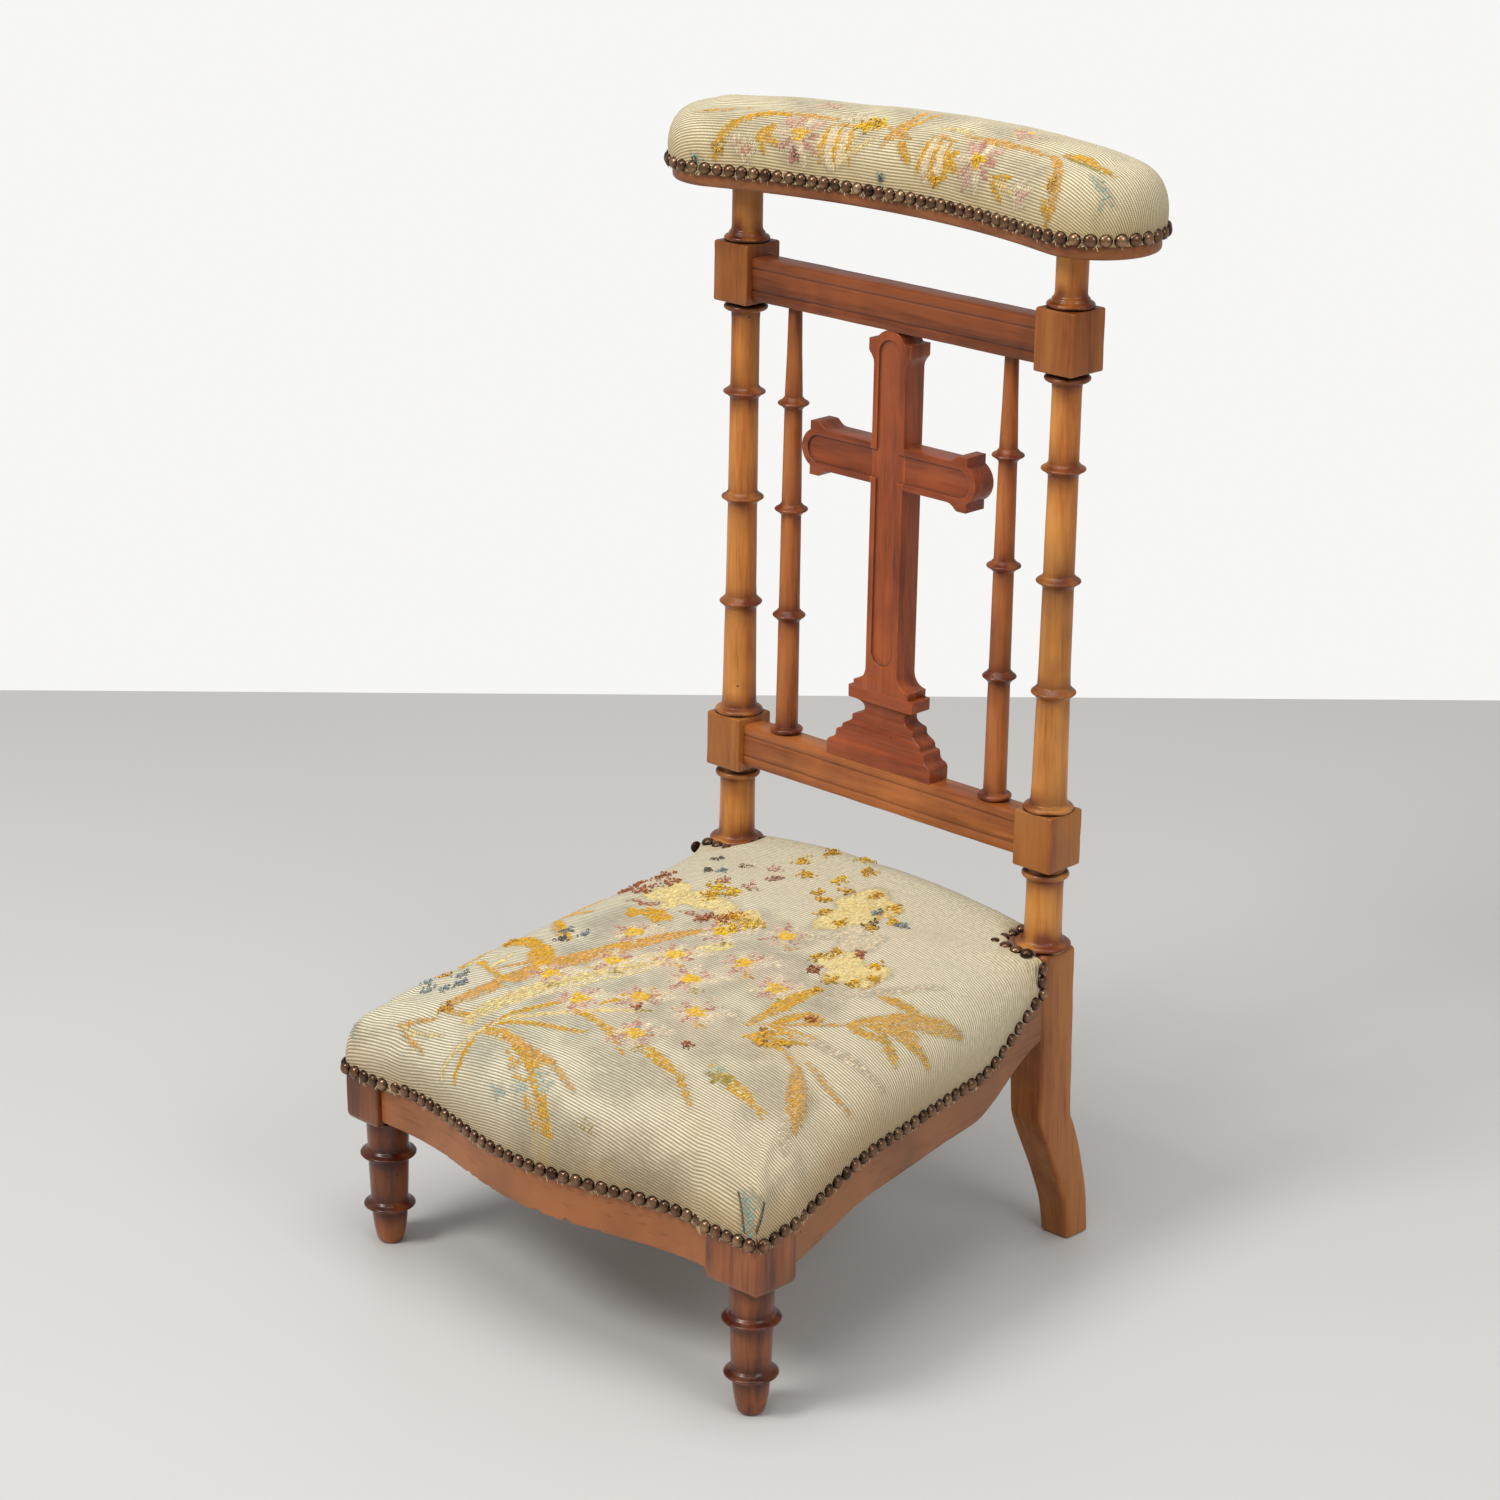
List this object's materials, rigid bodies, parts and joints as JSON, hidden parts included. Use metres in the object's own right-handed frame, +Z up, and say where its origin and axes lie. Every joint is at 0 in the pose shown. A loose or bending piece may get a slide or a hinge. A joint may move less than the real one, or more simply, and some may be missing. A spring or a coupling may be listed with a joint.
{
  "type": "kneeling bench",
  "caption": "Prie-dieu: low sloping upholstered kneeling seat on turned legs, tall turned back posts with a raised cross between rails, and a bent padded armrest on top",
  "frame": {"origin": "Centre of the footprint's box, on the floor under the four feet.", "axes": "+Z up from the floor to the armrest; +Y from the front of the kneeling seat towards the back posts; +X to the kneeling person's right, across the seat. The bench is mirror-symmetric about X = 0 but for one lapped joint."},
  "size_m": [0.4632, 0.4904, 0.856],
  "materials": {
    "walnut_legs": "worn dark walnut, old satin polish",
    "walnut_posts": "golden walnut, satin polish, dirt in the rings",
    "walnut_seat_rails": "red-brown walnut, worn edges",
    "beech_blocks": "raw sawn beech",
    "walnut_back": "red-brown walnut, satin polish",
    "walnut_cross": "red-brown walnut, satin polish",
    "walnut_board": "dark walnut edge, satin polish",
    "webbing": "jute webbing",
    "hessian": "coarse jute cloth",
    "horsehair": "curled hair in a cotton scrim",
    "seat_tapestry": "ribbed needlework, faded sage and cream with wool flowers",
    "armrest_tapestry": "ribbed needlework, faded sage and cream with wool flowers",
    "brass_nails": "dark bronzed brass heads, rubbed bright",
    "iron_tacks": "blued iron"
  },
  "bodies": {
    "root": {"front_leg_left": "walnut_legs", "front_leg_right": "walnut_legs", "rear_post_left": "walnut_posts", "rear_post_right": "walnut_posts", "front_seat_rail": "walnut_seat_rails", "side_seat_rail_left": "walnut_seat_rails", "side_seat_rail_right": "walnut_seat_rails", "back_seat_rail": "walnut_seat_rails", "corner_block_front_left": "beech_blocks", "corner_block_front_right": "beech_blocks", "corner_block_rear_left": "beech_blocks", "corner_block_rear_right": "beech_blocks", "upper_back_rail": "walnut_back", "lower_back_rail": "walnut_back", "spindle_left": "walnut_back", "spindle_right": "walnut_back", "cross_shaft": "walnut_cross", "cross_arm": "walnut_cross", "cross_plinth": "walnut_cross", "armrest_board": "walnut_board", "seat_webbing_lengthwise": "webbing", "seat_webbing_crosswise": "webbing", "seat_hessian": "hessian", "seat_stuffing": "horsehair", "armrest_stuffing": "horsehair", "seat_cover": "seat_tapestry", "armrest_cover": "armrest_tapestry", "seat_nails_front": "brass_nails", "seat_nails_left": "brass_nails", "seat_nails_right": "brass_nails", "seat_nails_back": "brass_nails", "seat_nails_post_left": "brass_nails", "seat_nails_post_right": "brass_nails", "armrest_nails": "brass_nails", "webbing_tacks": "iron_tacks"}
  },
  "joints": []
}
